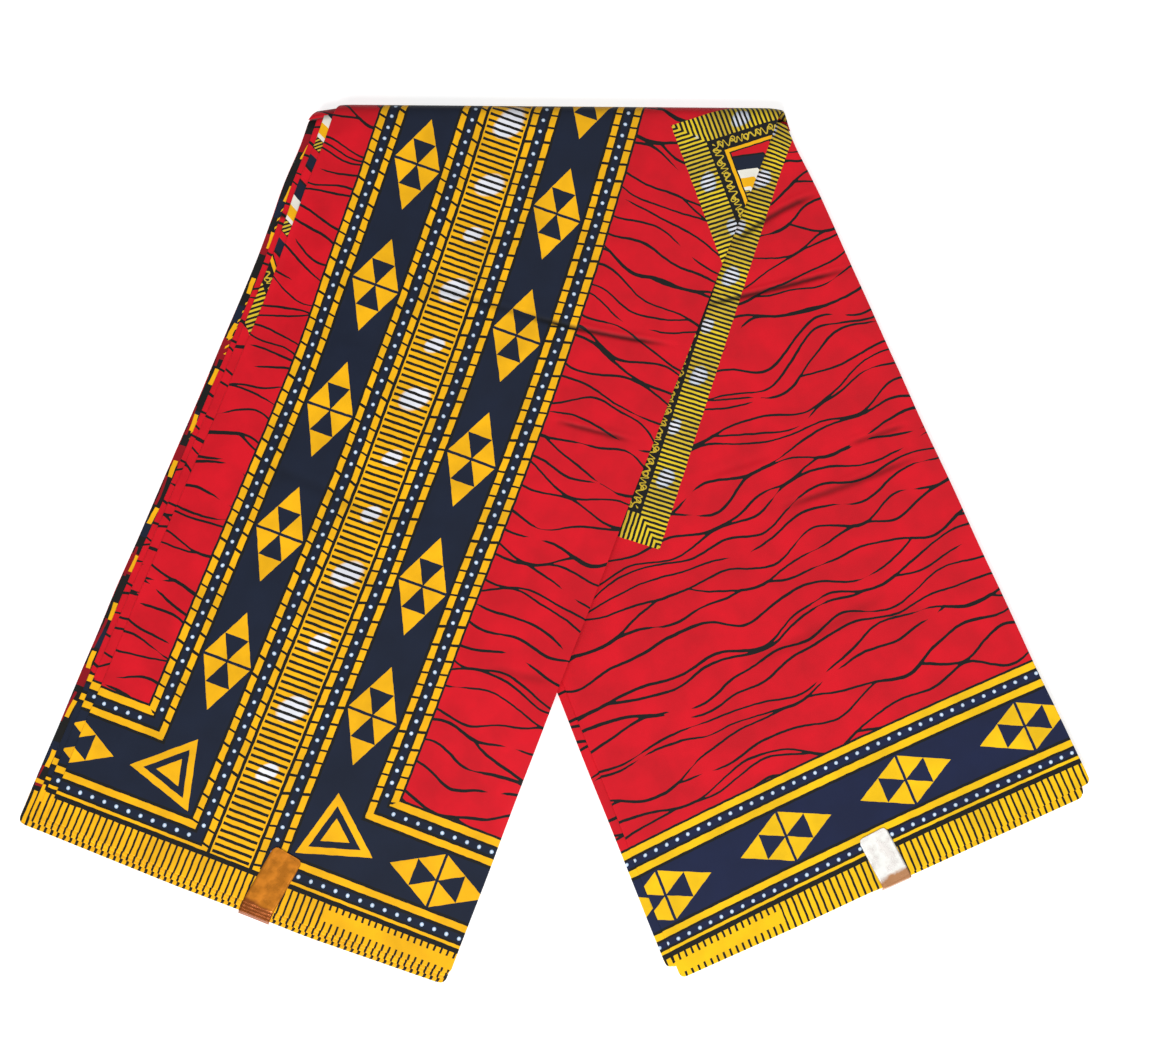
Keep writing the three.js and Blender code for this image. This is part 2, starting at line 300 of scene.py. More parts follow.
# A place on the cloth in millimetres. The print's hand-cut edges waver a little
def clothPlace(tree):
    place = Wire(tree).node("ShaderNodeUVMap", {"uv_map": "Cloth"})
    split = place.node("ShaderNodeSeparateXYZ", {}, {0: place})
    waver = place.grain(170.0, 1.0)
    waverAlong = waver.out("Color").vector("DOT_PRODUCT", (0, 1, 0), output="Value")
    across = split.out("X") * 1000 + (waver - 0.5) * 0.6
    along = split.out("Y") * 1000 + (waverAlong - 0.5) * 0.6
    return across, along


leftBorder = {
    "ladder": -145.8,
    "ladderHalf": 14.4,
    "rungPitch": 4.88,
    "ovals": [-253.6, -206, -168.5, -124, -81.4, -40.9, 5, 45.9, 90.5, 142.4, 190.9, 236.5, 290],
    "bigOvals": (0, 1, 3, 5, 8, 10),
    "smallOval": 0.68,
    "ovalRadius": 9.6,
    "ovalSpan": (-330, 660),
    "upright": {"at": 81.3, "pitch": 94.9},  # the lozenges' places
    "level": {"at": -9.8, "pitch": 90.3},
    "lozengeLine": 39,
    "cornerTo": 79,
    "triangle": (45, 258.5),
    "triangleSides": ((0.29, 0.957), (-0.967, -0.254), (0.657, -0.754)),
    "dotMiddle": 39.2,
    "dotLine": 28.6,
    "dotPitch": 8.9,
    "dotsFrom": (10.6, 57.2),
    "goldLines": (4.2, 17, 61.5, 74),
    "tickPitch": 10.7,
    "darkFrom": 299.9,
    "selvedge": 303.3,
    "toothPitch": 4.68,
    "veinPitch": 11.4,
}


def leftPrint(tree):
    shape = leftBorder
    across, along = clothPlace(tree)
    plainAcross = across
    rise = along.lower(20) - 20
    across = across + rise * rise * 0.00016  # the border drifts to the left on its way up
    fromLadder = across - shape["ladder"]
    beside = (abs(fromLadder) - shape["ladderHalf"]) * (1 - 0.022 * (fromLadder > 0))
    raised = (shape["selvedge"] - along) * 0.94 + 1.5
    border = beside.lower(raised)
    farther = beside.higher(raised)
    turned = raised < beside
    step = turned.choose(along, across)
    colour = border.ramp(
        -2,
        98,
        [
            (-2, "ink"), (2.1, "gold"), (6.5, "ink"), (8.1, "navy"), (13.1, "ink"), (14.8, "gold"),
            (19.1, "ink"), (21.2, "navy"), (57, "ink"), (59.2, "gold"), (63.6, "ink"), (65.3, "navy"),
            (70, "ink"), (71.8, "gold"), (76.2, "ink"), (77.9, "red"),
        ],
    )
    # lozenges along the navy bands
    upright, level = shape["upright"], shape["level"]
    place = turned.choose((along - upright["at"]) / upright["pitch"], (across - level["at"]) / level["pitch"])
    lozenges = lozenge(place.off(1) * 2.65, abs(border - shape["lozengeLine"]) / 17.6)
    colour = colour.under(lozenges * (farther > shape["cornerTo"]), "gold")
    # a nested triangle in each corner
    x = beside - shape["triangle"][0]
    y = along - shape["triangle"][1]
    one, two, three = [x * toSide + y * upwards for toSide, upwards in shape["triangleSides"]]
    triangle = one.higher(two).higher(three)
    nested = triangle.within(12, 2.3) + (triangle < 5.4)
    colour = colour.under(nested * (farther < shape["cornerTo"]), "gold")
    # dots, each with a blue rim, and none too near a corner
    pitch = shape["dotPitch"]
    dot = fromPoint(abs(border - shape["dotMiddle"]) - shape["dotLine"], step.off(pitch))
    centre = (step / pitch).calc("ROUND") * pitch
    fromCorner = turned.choose(
        (shape["selvedge"] - centre) * 0.94 + 0.2,
        (abs(centre - shape["ladder"]) - shape["ladderHalf"]) * 0.99 - 3.4,
    )
    innerFrom, outerMore = shape["dotsFrom"]
    dot = dot + (fromCorner < (border > shape["dotMiddle"]) * outerMore + innerFrom) * 9
    colour = colour.under(dot < 1.3, "ice").under(dot < 0.65, "white")
    # thin ticks over the upright gold lines
    gold = sum(border.within(line, 2.6) for line in shape["goldLines"])
    tick = (along + beside * 0.24 + (along * 0.09).calc("SINE") * 2.4).off(shape["tickPitch"]) < 0.84
    colour = colour.under(tick * gold * (1 - turned), "ink")
    # the ladder and its ovals
    start, length = shape["ovalSpan"]
    share = (along - start) / length
    last = len(shape["ovals"]) - 1
    points = [(0.0, 0.0)]
    sizes = []
    for index, place in enumerate(shape["ovals"]):
        size = 1.0 if index in shape["bigOvals"] else shape["smallOval"]
        if index == last:
            size = 0.01
        before = start if index == 0 else (shape["ovals"][index - 1] + place) / 2
        points.append(((place - start) / length, (index + 1) / (last + 2)))
        sizes.append(((before - start) / length, (size,) * 3 + (1.0,)))
    points.append((1.0, 1.0))
    order = share.node("ShaderNodeFloatCurve", {"points": points}, {"Value": share}) * (last + 2)
    lift = (order - order.calc("ROUND")) * 44
    lean = fromLadder - 1.5 + lift * 0.4
    size = share.node("ShaderNodeValToRGB", {"stops": (False, sizes)}, {"Fac": share})
    oval = (lean * lean * 1.15 + lift * lift).calc("SQRT") / (size * shape["ovalRadius"])
    ladder = ((1.12 - oval) * 4).lower(1).higher(0).between("gold", "white")
    rung = along.off(shape["rungPitch"]) < 1.02
    colour = colour.under(beside < 0, ladder.under(rung * (beside < -0.9), "ink"))
    # the selvedge: a dark line, then a comb with a plain strip in it
    strip = across.within(-24, 47) * along.within(310.8, 3.9)
    tooth = (across.off(shape["toothPitch"]) < 0.74) * (1 - strip)
    colour = colour.under(along > shape["darkFrom"], "ink")
    colour = colour.under(along > shape["selvedge"], tooth.between("gold", "ink"))
    # veins on the red
    vein = veins(across, along + across * -0.05, shape["veinPitch"], 3.1)
    colour = colour.under(vein * (border > 77), "ink")
    mask, frameColour = combFrame(
        plainAcross, along, (-45.6, -295.6), (0.774, -0.633), (0.633, 0.774), (24, -281)
    )
    return colour.under(mask, frameColour)


rightBorder = {
    "from": 212.3,
    "middle": 96,
    "bow": 2.2,
    "lozenges": {"at": 45.1, "pitch": 90.3},
    "lozengeLine": 38.1,
    "dotMiddle": 37.7,
    "dotLine": 29.3,
    "dotPitch": 8,
    "combFrom": 75.6,
    "toothPitch": 4.7,
    "veinPitch": 10.6,
}


def rightPrint(tree):
    shape = rightBorder
    across, along = clothPlace(tree)
    bow = (across - shape["middle"]) / 152
    down = along - shape["from"] + across * 0.048 - bow * bow * shape["bow"]
    bands = down.ramp(
        -2,
        98,
        [
            (-2, "ink"), (0.1, "brightGold"), (5, "ink"), (6.5, "brightNavy"), (11.4, "ink"),
            (12.9, "brightGold"), (17.6, "ink"), (19.6, "brightNavy"), (56.4, "ink"), (58.2, "brightGold"),
            (62.8, "ink"), (64.3, "brightNavy"), (68.6, "ink"), (70.1, "brightGold"), (72.2, "ink"),
            (75.6, "brightGold"),
        ],
    )
    colour = (down > -1.2).between("red", bands)
    step = ((across - shape["lozenges"]["at"]) / shape["lozenges"]["pitch"]).off(1) * 2.65
    colour = colour.under(lozenge(step, abs(down - shape["lozengeLine"]) / 17.6), "brightGold")
    dot = fromPoint(abs(down - shape["dotMiddle"]) - shape["dotLine"], across.off(shape["dotPitch"]))
    colour = colour.under(dot < 1.25, "ice").under(dot < 0.6, "white")
    tooth = (across.off(shape["toothPitch"]) < 0.76) * (down > shape["combFrom"])
    strip = across.within(-17, 40) * down.within(84, 4)
    colour = colour.under(tooth * (1 - strip), "ink")
    vein = veins(across, along + across * 0.02, shape["veinPitch"], 7.7)
    colour = colour.under(vein * (down < -1), "ink")
    mask, frameColour = combFrame(
        across, along, (40, 35), (-0.7686, -0.64), (0.64, -0.7686), (232, -187), bare=24
    )
    return colour.under(mask, frameColour)


# Places across the strip: marks are the gold pieces on the folds' rims
foldEdges = {"pattern": 97, "marks": -288.2, "markHalf": 1.6, "markPitch": 36, "darkBeyond": -240}


# The folds' edges: near black with gold pieces, some of them red, and the comb at their selvedges
def edgePrint(tree):
    shape = foldEdges
    across, along = clothPlace(tree)
    # every fold has its own across values, so the marks fall at another place on each
    strip = (along + across * 0.63).calc("FLOORED_MODULO", shape["pattern"]).ramp(
        0,
        shape["pattern"],
        [
            (0, "red"), (17, "ink"), (19, "deepRed"), (36, "ink"), (38.4, "red"),
            (60, "ink"), (61.6, "deepRed"), (80, "ink"), (83, "red"),
        ],
    )
    strip = strip.under(along > 214, "navy").under(along.within(221, 2.4), "gold")
    edge = across + (along * 0.13).calc("SINE") * 0.8
    onRim = edge.within(shape["marks"], shape["markHalf"])
    piece = (along + 8).off(shape["markPitch"]) < 6.2
    pair = (along - 10).off(shape["markPitch"]) - 14.5
    small = (pair + (edge + 288.4) * 0.8).within(0, 1.5)
    mixed = along.calc("FLOORED_MODULO", 83).ramp(
        0, 83, [(0, "ink"), (19, "navy"), (33, "ink"), (46, "deepRed"), (61, "ink")]
    )
    curls = ((along * 0.8 + across).off(5.4) < 0.8) * (along.off(96) > 26) * (along < 40)
    curls = curls * edge.within(-286.9, 1.1)
    colour = strip.under(across < shape["darkBeyond"], mixed)
    colour = colour.under((piece * onRim + small * onRim + curls).lower(1), "gold")
    colour = colour.under((along > -60) * (along.off(54) > 16) * edge.within(-290.6, 0.9), "deepRed")
    colour = colour.under(along.within(296.6, 1.4), "gold").under(along > leftBorder["darkFrom"], "ink")
    tooth = across.off(leftBorder["toothPitch"]) < 0.98
    return colour.under(along > leftBorder["selvedge"], tooth.between("gold", "ink"))


clothLook = {
    "roughness": 0.62,
    "sheen": 0.06,
    "sheenRoughness": 0.4,
    "specular": 0.22,
    "threads": 2600.0,
    "weaveDepth": 0.00006,
    # strengths and reach of the painted shade along the creases and by the top fold's rim
    "paintedCreaseShade": 0.9,
    "rimReach": 22,
    "paintedRimShade": 0.6,
}


# Painted shade: a darker line along each crease, standing in for the shade in its groove
def paintedCreaseShade(across, along, side):
    total = across * 0
    for crease in creases[side]:
        start = Vector(crease["from"])
        line = Vector(crease["to"]) - start
        direction = line.normalized()
        x = across - start.x
        y = along - start.y
        share = ((x * direction.x + y * direction.y) / line.length).lower(1).higher(0)
        offset = x * direction.y - y * direction.x + (share * math.pi).calc("SINE") * crease.get("bow", 0)
        reach = offset / (crease["half"] * 1.1)
        fade = (share * 5).lower(1) * ((1 - share) * 5).lower(1)
        total = total + (reach * reach * -1).calc("EXPONENT") * fade * max(crease["depth"], 0)
    return total


# Painted shade: within a short reach of the top fold's rim the cloth's colour is darkened, standing in for
# the shade where it turns away from the light
def paintedRimShade(tree):
    place = Wire(tree).node("ShaderNodeTexCoord", output=3)
    split = place.node("ShaderNodeSeparateXYZ", {}, {0: place})
    x = split.out("X") / mm - cloth["shift"][0]
    y = split.out("Y") / mm - cloth["shift"][1]
    fromRim = foldDistance + turnRadius - (x * foldOut.x + y * foldOut.y)
    near = (1 - fromRim / clothLook["rimReach"]).higher(0).lower(1)
    return near * near * clothLook["paintedRimShade"]


def clothMaterial(name, paint, side=None):
    material, tree, shader = newMaterial(name)
    colour = paint(tree)
    place = Wire(tree).node("ShaderNodeUVMap", {"uv_map": "Cloth"})
    mottle = place.grain(38.0, 4.0)
    shade = mottle.ramp(0, 1, [(0.3, (0.86, 0.86, 0.86, 1)), (0.7, (1.08, 1.08, 1.08, 1))], smooth=True)
    # painted shade: the colour is darkened near the top fold's rim, and on the legs' prints along the creases
    light = 1 - paintedRimShade(tree)
    if side:
        light = light * (1 - paintedCreaseShade(*clothPlace(tree), side) * clothLook["paintedCreaseShade"])
    shade = shade.vector("MULTIPLY", light)
    multiply = {"data_type": "RGBA", "blend_type": "MULTIPLY"}
    mottledColourWithPaintedShade = colour.node("ShaderNodeMix", multiply, {0: 1.0, 6: colour, 7: shade}, output=2)
    tree.links.new(mottledColourWithPaintedShade.socket, shader.inputs["Base Color"])
    rough = mottle * 0.16 + (clothLook["roughness"] - 0.08)
    tree.links.new(rough.socket, shader.inputs["Roughness"])
    threads = place.grain(clothLook["threads"], 1.0)
    weave = {"Height": threads, "Strength": 0.35, "Distance": clothLook["weaveDepth"]}
    tree.links.new(threads.node("ShaderNodeBump", {}, weave).socket, shader.inputs["Normal"])
    shader.inputs["Sheen Weight"].default_value = clothLook["sheen"]
    shader.inputs["Sheen Roughness"].default_value = clothLook["sheenRoughness"]
    shader.inputs["Specular IOR Level"].default_value = clothLook["specular"]
    return material


foilLook = {"crumples": 140.0, "paintedHighlightGain": 1.25, "roughness": 0.16, "crumpleDepth": 0.0006}


# A label's face, and the back of the foil from foldAt metres along it
def foilMaterial(name, face, back, metal, foldAt):
    material, tree, shader = newMaterial(name)
    place = Wire(tree).node("ShaderNodeUVMap", {"uv_map": "Cloth"})
    split = place.node("ShaderNodeSeparateXYZ", {}, {0: place})
    crumple = place.grain(foilLook["crumples"], 3.0)
    # painted highlights: the face's colour turns lighter where the crumples rise
    paintedHighlightColour = tuple(min(1, part * foilLook["paintedHighlightGain"]) for part in face[:3]) + (1,)
    faceWithPaintedHighlights = crumple.ramp(0, 1, [(0.35, face), (0.6, paintedHighlightColour)], smooth=True)
    pastFold = ((split.out("Y") + crumple * 0.006 - foldAt) * 400).lower(1).higher(0)
    tree.links.new(faceWithPaintedHighlights.under(pastFold, back).socket, shader.inputs["Base Color"])
    tree.links.new((crumple * 0.3 + foilLook["roughness"]).socket, shader.inputs["Roughness"])
    dents = {"Height": crumple, "Strength": 0.5, "Distance": foilLook["crumpleDepth"]}
    tree.links.new(crumple.node("ShaderNodeBump", {}, dents).socket, shader.inputs["Normal"])
    shader.inputs["Metallic"].default_value = metal
    return material


# The folded strip's form, in millimetres
cloth = {
    "wall": 1.1,
    "gap": 0.3,
    "innerFolds": 4.8,
    "front": 310.8,
    "tilt": -0.5,
    "corner": 4,
    "shift": (22.05, -1.12),
    "slope": (26, 66, 80),
    "rightLegEdge": -57.3 - 6.2,
}
foldStep = cloth["wall"] + cloth["gap"]
legHeight = cloth["innerFolds"] + 3 * foldStep
turnRadius = legHeight + cloth["gap"] / 2
foldAlong = Vector((math.cos(math.radians(cloth["tilt"])), math.sin(math.radians(cloth["tilt"]))))
foldOut = Vector((-foldAlong.y, foldAlong.x))
foldDistance = cloth["front"] * foldOut.y - turnRadius

legs = {
    "left": {
        "lean": -20.46,
        "edges": [
            (0, -273.6, 20.6), (0.3, -274.8, 21.8), (0.6, -274.2, 23.4),
            (0.85, -275.4, 25), (0.96, -277.4, 26.2), (1, -279, 25.4),
        ],
        "selvedge": [(0, 320.5), (0.33, 323), (0.66, 323.6), (1, 319.6)],
    },
    "right": {
        "lean": 21.8,
        "edges": [
            (0, -56.3, 252), (0.15, -56.5, 249.9), (0.35, -57, 248.5), (0.55, -57.4, 247.3), (1, -57.8, 247),
        ],
        "selvedge": [(0, 308.4), (0.28, 306.2), (0.45, 304), (0.6, 301), (0.8, 296.6), (1, 292.4)],
    },
}
for leg in legs.values():
    lean = math.radians(leg["lean"])
    leg["down"] = Vector((math.sin(lean), -math.cos(lean)))
    leg["across"] = Vector((math.cos(lean), math.sin(lean)))


# How far each fold's edges lie outside the top cloth's: left, right, and past the selvedge at its left
# end, middle and right end
folds = {
    "left": {
        "top": (0, 0, -2.6, -2.2, -2.3),
        "second": (7, -1, 0.2, 0.1, 0.2),
        "third": (11.5, -2, 2.8, 2.2, 2.6),
        "hidden": [
            (17.4, -3, 5.4, 4.2, 4.8), (18, -1.6, 6.6, 4.8, 5.6),
            (16.8, -3.4, 7, 5.2, 5.9), (17.6, -2.2, 6.2, 4.6, 5.2),
        ],
    },
    "right": {
        "top": (0, 0, 0, 0, 0),
        "second": (6.2, -8, -9.4, 1.2, 7),
        "hidden": [
            (4.2, -6.6, -8.6, 0.4, 6.1), (5.4, -7.6, -9.2, 1.4, 7.1), (3.8, -5.8, -8.2, 0.6, 5.7),
            (5, -7.2, -8.8, 1.2, 6.7), (4.4, -6.4, -8.4, 0.8, 6.3),
        ],
    },
}


def fromTable(table, at, column=1):
    if at <= table[0][0]:
        return table[0][column]
    for low, high in zip(table, table[1:]):
        if at < high[0]:
            share = (at - low[0]) / (high[0] - low[0])
            return low[column] + (high[column] - low[column]) * share
    return table[-1][column]


def smooth(value, low, high):
    share = max(0.0, min(1.0, (value - low) / (high - low)))
    return share * share * (3 - 2 * share)


def inPlan(leg, along, across):
    return leg["down"] * along + leg["across"] * across


def alongAtFold(leg, across):
    return (foldDistance - leg["across"].dot(foldOut) * across) / leg["down"].dot(foldOut)


def selvedgeOf(leg, edges, across):
    left, right = leg["edges"][0][1:]
    at = (across - left) / (right - left)
    beyond = fromTable([(0, edges[2]), (0.5, edges[3]), (1, edges[4])], at)
    fromSide = min(across - (left - edges[0]), right + edges[1] - across)
    corner = cloth["corner"]
    inCorner = max(corner - max(fromSide, 0), 0)
    return fromTable(leg["selvedge"], at) + beyond - (corner - math.sqrt(max(corner**2 - inCorner**2, 0)))


def restHeight(side, point):
    if side == "right":
        return 0
    start, length, under = cloth["slope"]
    inside = point.dot(legs["right"]["across"]) - cloth["rightLegEdge"]
    onRight = smooth(inside, -start - length, -start)
    byTop = 1 - smooth(foldDistance - point.dot(foldOut), 0, under)
    return (legHeight + cloth["gap"]) * (1 - (1 - onRight) * (1 - byTop))


# Creases pressed into the top cloths: each a line in leg coordinates (across, along), with its depth,
# half width, and how far it bows to a side
creases = {
    "left": [
        {"from": (-168, -122), "to": (-60, -129), "depth": 0.45, "half": 2.4, "bow": 2},
        {"from": (-90, -124.5), "to": (10, -140), "depth": 0.95, "half": 1.7, "bow": 1.5},
        {"from": (-46, -60), "to": (8, -65), "depth": 0.7, "half": 1.6},
        {"from": (-236, 40), "to": (-120, 52), "depth": 0.25, "half": 4, "bow": -3},
        {"from": (-30, 120), "to": (18, 112), "depth": 0.3, "half": 3.2},
    ],
    "right": [
        {"from": (130, -119), "to": (246, -104), "depth": 0.95, "half": 1.7, "bow": 1.2},
        {"from": (172, -152), "to": (246, -165), "depth": 0.85, "half": 2.1, "bow": -3},
        {"from": (130, 39), "to": (236, 41), "depth": 0.6, "half": 2.3, "bow": 1.5},
        {"from": (192, 15), "to": (236, 17), "depth": 0.5, "half": 1.8},
        {"from": (90, 3), "to": (138, 6), "depth": -0.4, "half": 2.6},
        {"from": (60, 130), "to": (180, 122), "depth": 0.25, "half": 4, "bow": 3},
    ],
}


def creaseDepth(crease, across, along):
    start = Vector(crease["from"])
    line = Vector(crease["to"]) - start
    direction = line / line.length
    offset = Vector((across, along)) - start
    share = offset.dot(direction) / line.length
    bow = crease.get("bow", 0) * math.sin(math.pi * max(0, min(1, share)))
    side = offset.x * direction.y - offset.y * direction.x + bow
    if share < -0.15 or share > 1.15 or abs(side) > 4 * crease["half"]:
        return 0
    fade = smooth(share, -0.12, 0.25) * (1 - smooth(share, 0.75, 1.12))
    reach = side / crease["half"]
    return crease["depth"] * fade * (-math.exp(-reach * reach) + 0.6 * math.exp(-((reach - 1.9) ** 2)))


# A top cloth's deepest crease stays above the fold below it
reliefShape = {"swell": 0.3, "fineSwell": 0.12, "deepest": -0.98}


def relief(side, across, along):
    shape = reliefShape
    seed = 3.1 if side == "left" else 9.7
    height = shape["swell"] * noise.noise(Vector((across / 70, along / 55, seed)))
    height += shape["fineSwell"] * noise.noise(Vector((across / 17, along / 21, 5.5)))
    height += sum(creaseDepth(crease, across, along) for crease in creases[side])
    return max(height, shape["deepest"])


rowSteps = {"plain": 0.0054, "creased": 0.0019}


# The rows of a top cloth, close together where a crease crosses them
def rowShares(side, edges):
    leg = legs[side]
    bands = []
    for crease in creases[side]:
        shares = []
        for across, along in (crease["from"], crease["to"]):
            ends = selvedgeOf(leg, edges, across)
            length = ends - alongAtFold(leg, across)
            shares += [(ends - along + step * crease["half"]) / length for step in (-4, 4)]
        if abs(crease["depth"]) > 0.3:
            bands.append((min(shares), max(shares)))
    listed = [0]
    while listed[-1] < 1:
        close = any(low < listed[-1] < high for low, high in bands)
        listed.append(min(1, listed[-1] + rowSteps["creased" if close else "plain"]))
    return listed[1:]


materials = {
    "left": clothMaterial("leftLegPrint", leftPrint, "left"),
    "right": clothMaterial("rightLegPrint", rightPrint, "right"),
    "edges": clothMaterial("foldEdgePrint", edgePrint),
    "copper": foilMaterial("copperFoil", linear(222, 134, 34), linear(160, 84, 30), 0.6, 0.0405),
    "pearl": foilMaterial("pearlFoil", linear(236, 231, 226), linear(190, 134, 90), 0.35, 0.0315),
}
print("materials made")


# corners: pairs of a vertex and its place on the cloth in millimetres
def addFace(mesh, layer, corners):
    made = mesh.faces.new([vertex for vertex, place in corners])
    made.smooth = True
    for loop, (vertex, place) in zip(made.loops, corners):
        loop[layer].uv = (place[0] * mm, place[1] * mm)


def addBands(mesh, layer, rings):
    count = len(rings[0])
    for here, there in zip(rings, rings[1:]):
        for index in range(count):
            follow = (index + 1) % count
            addFace(mesh, layer, [here[index], here[follow], there[follow], there[index]])


turnSteps = 24
shell = {
    "roundEdge": (-60, -30, 0, 30, 60),
    "fromEdge": [0.5, 1.2, 2.5, 4.5],  # columns close to a folded edge
    "lastRows": [0, 0.25, 0.6, 1.2, 2.4, 5],  # rows close to the selvedge
    "edgeWaver": 0.5,
}


# One fold of the cloth: a thin closed shell with round edges, whose cloth coordinates go into a UV map.
# A lively one has a top cloth's relief, and rows of its own
def foldShell(name, side, edges, low, high, columns, rows=0, turned=False, printShift=(0, 0), lively=False):
    leg = legs[side]
    half = (high - low) / 2
    arc = [math.radians(angle) for angle in shell["roundEdge"]]
    fromEdge = shell["fromEdge"]
    lastRows = shell["lastRows"]
    bodyRows = rowShares(side, edges) if lively else [index / rows for index in range(1, rows + 1)]
    rowList = [("end", step) for step in lastRows] + [("body", share) for share in bodyRows]
    if turned:
        rowList += [("turn", index / turnSteps) for index in range(1, turnSteps + 1)]

    def lineOf(left, right):
        width = right - left - 2 * fromEdge[-1]
        inner = [left + fromEdge[-1] + width * index / columns for index in range(1, columns)]
        return [left + step for step in fromEdge] + inner + [right - step for step in reversed(fromEdge)]

    mesh = bmesh.new()
    layer = mesh.loops.layers.uv.new("Cloth")

    def place(across, height, kind, value, left, right):
        ends = selvedgeOf(leg, edges, across) - half
        if kind == "end":
            along = ends - value
        elif kind == "body":
            along = ends - lastRows[-1] + (alongAtFold(leg, across) - ends + lastRows[-1]) * value
        else:
            along = alongAtFold(leg, across)
        flat = inPlan(leg, along, across)
        if kind != "turn":
            level = min(max(across, left + 4), right - 4)
            under = inPlan(leg, along, level)
            return Vector((flat.x, flat.y, restHeight(side, under) + height)), along
        turn = value * math.pi
        radius = legHeight + cloth["gap"] + height - turnRadius
        run = turnRadius * turn * leg["down"].dot(foldAlong) / leg["down"].dot(foldOut)
        flat = flat + foldAlong * run + foldOut * (radius * math.sin(turn))
        return Vector((flat.x, flat.y, turnRadius + radius * math.cos(turn))), along - turnRadius * turn

    rings = []
    for kind, value in rowList:
        share = {"end": 0, "body": value, "turn": 1}[kind]
        # the folded edges wander a little
        waver = share * 11 + low
        left = fromTable(leg["edges"], share, 1) - edges[0]
        right = fromTable(leg["edges"], share, 2) + edges[1]
        left += shell["edgeWaver"] * noise.noise(Vector((waver, 0.7, low)))
        right += shell["edgeWaver"] * noise.noise(Vector((waver, 8.3, low)))
        tops = lineOf(left, right)
        lifts = [low + half + half * math.sin(angle) for angle in arc]
        rights = [right - half + half * math.cos(angle) for angle in arc]
        lefts = [left + half - half * math.cos(angle) for angle in arc]
        profile = [(across, high) for across in tops] + list(zip(reversed(rights), reversed(lifts)))
        profile += [(across, low) for across in reversed(tops)] + list(zip(lefts, lifts))
        ring = []
        for across, height in profile:
            point, along = place(across, height, kind, value, left, right)
            if lively and height > low + half and kind != "turn":
                edgeFade = smooth(min(across - left, right - across), 0, 6)
                endFade = 1 - smooth(value, 0.9, 1) if kind == "body" else 0.5
                point.z += relief(side, across, along) * edgeFade * endFade
            ring.append((mesh.verts.new(point), (across + printShift[0], along + printShift[1])))
        rings.append(ring)
    addBands(mesh, layer, rings)
    # both ends: a rounded lip between the upper and the lower side
    topCount = len(lineOf(0, 100))
    sideArc = len(arc)
    for ring, atSelvedge in ((rings[0], True), (rings[-1], False)):
        uppers = ring[:topCount]
        lowers = list(reversed(ring[topCount + sideArc : 2 * topCount + sideArc]))
        middles = []
        for upper, lower in zip(uppers, lowers):
            centre = (upper[0].co + lower[0].co) / 2
            if atSelvedge:
                centre += Vector((*leg["down"], 0)) * half
            middles.append((mesh.verts.new(centre), upper[1]))
        corners = []
        for one in range(topCount - 1):
            corners.append([uppers[one], middles[one], middles[one + 1], uppers[one + 1]])
            corners.append([middles[one], lowers[one], lowers[one + 1], middles[one + 1]])
        rightArc = [uppers[-1]] + ring[topCount : topCount + sideArc] + [lowers[-1]]
        leftArc = [lowers[0]] + ring[2 * topCount + sideArc :] + [uppers[0]]
        for chain, middle in ((rightArc, middles[-1]), (leftArc, middles[0])):
            corners += [[one, middle, two] for one, two in zip(chain, chain[1:])]
        for listed in corners:
            addFace(mesh, layer, listed if atSelvedge else list(reversed(listed)))
    return finishMesh(name, mesh)


# The top fold's two ends lie a little lower than its middle
topEnds = {"left": (-224, 50, 14), "right": (151, 24, 6), "reach": 70}


def lowered(point):
    along = point.x * foldAlong.x + point.y * foldAlong.y
    below = foldDistance + turnRadius - (point.x * foldOut.x + point.y * foldOut.y)
    near = 1 - smooth(below, 0, topEnds["reach"])
    left, leftReach, leftDrop = topEnds["left"]
    right, rightReach, rightDrop = topEnds["right"]
    fromLeft = max(0, 1 - max(0, along - left) / leftReach)
    fromRight = max(0, 1 - max(0, right - along) / rightReach)
    point.y -= near * (leftDrop * fromLeft**2 + rightDrop * fromRight**2)


def newPiece(name, mesh):
    data = bpy.data.meshes.new(name)
    mesh.to_mesh(data)
    mesh.free()
    piece = bpy.data.objects.new(name, data)
    bpy.context.collection.objects.link(piece)
    return piece


def finishMesh(name, mesh):
    shiftX, shiftY = cloth["shift"]
    for vertex in mesh.verts:
        lowered(vertex.co)
        vertex.co = Vector((vertex.co.x + shiftX, vertex.co.y + shiftY, vertex.co.z)) * mm
    bmesh.ops.recalc_face_normals(mesh, faces=mesh.faces)
    return newPiece(name, mesh)


def dress(piece, material, node):
    piece.data.materials.append(materials[material])
    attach(piece, "root")
    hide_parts(node)


# The hidden folds, each of two layers: how much less the lower one reaches, and how far apart the
# print's places lie, from fold to fold and from layer to layer
hidden = {
    "left": {"rows": 60, "printFrom": 0, "foldShift": 61.3, "layerShift": 61.3, "alongShift": 0},
    "right": {"rows": 40, "printFrom": 60, "foldShift": 37.4, "layerShift": 17.6, "alongShift": 14},
    "columns": 24,
    "lowerInset": (0.5, 0.4, 0.7, 0.5, 0.6),
}
hiddenTop = {"left": legHeight - 3 * foldStep, "right": legHeight - 2 * foldStep}


def hiddenShells(side):
    shape = hidden[side]
    edgesList = folds[side]["hidden"]
    thick = hiddenTop[side] / len(edgesList)
    made = []
    for index, edges in enumerate(edgesList):
        for part in (0, 1):
            partTop = hiddenTop[side] - index * thick - part * thick / 2
            partEdges = tuple(edge - inset * part for edge, inset in zip(edges, hidden["lowerInset"]))
            printAt = shape["printFrom"] + index * shape["foldShift"] + part * shape["layerShift"]
            made.append(
                foldShell(
                    f"{side}Hidden{index}{part}", side, partEdges, partTop - thick / 2 + 0.03, partTop - 0.02,
                    hidden["columns"], shape["rows"], printShift=(printAt, shape["alongShift"]),
                )
            )
    return made


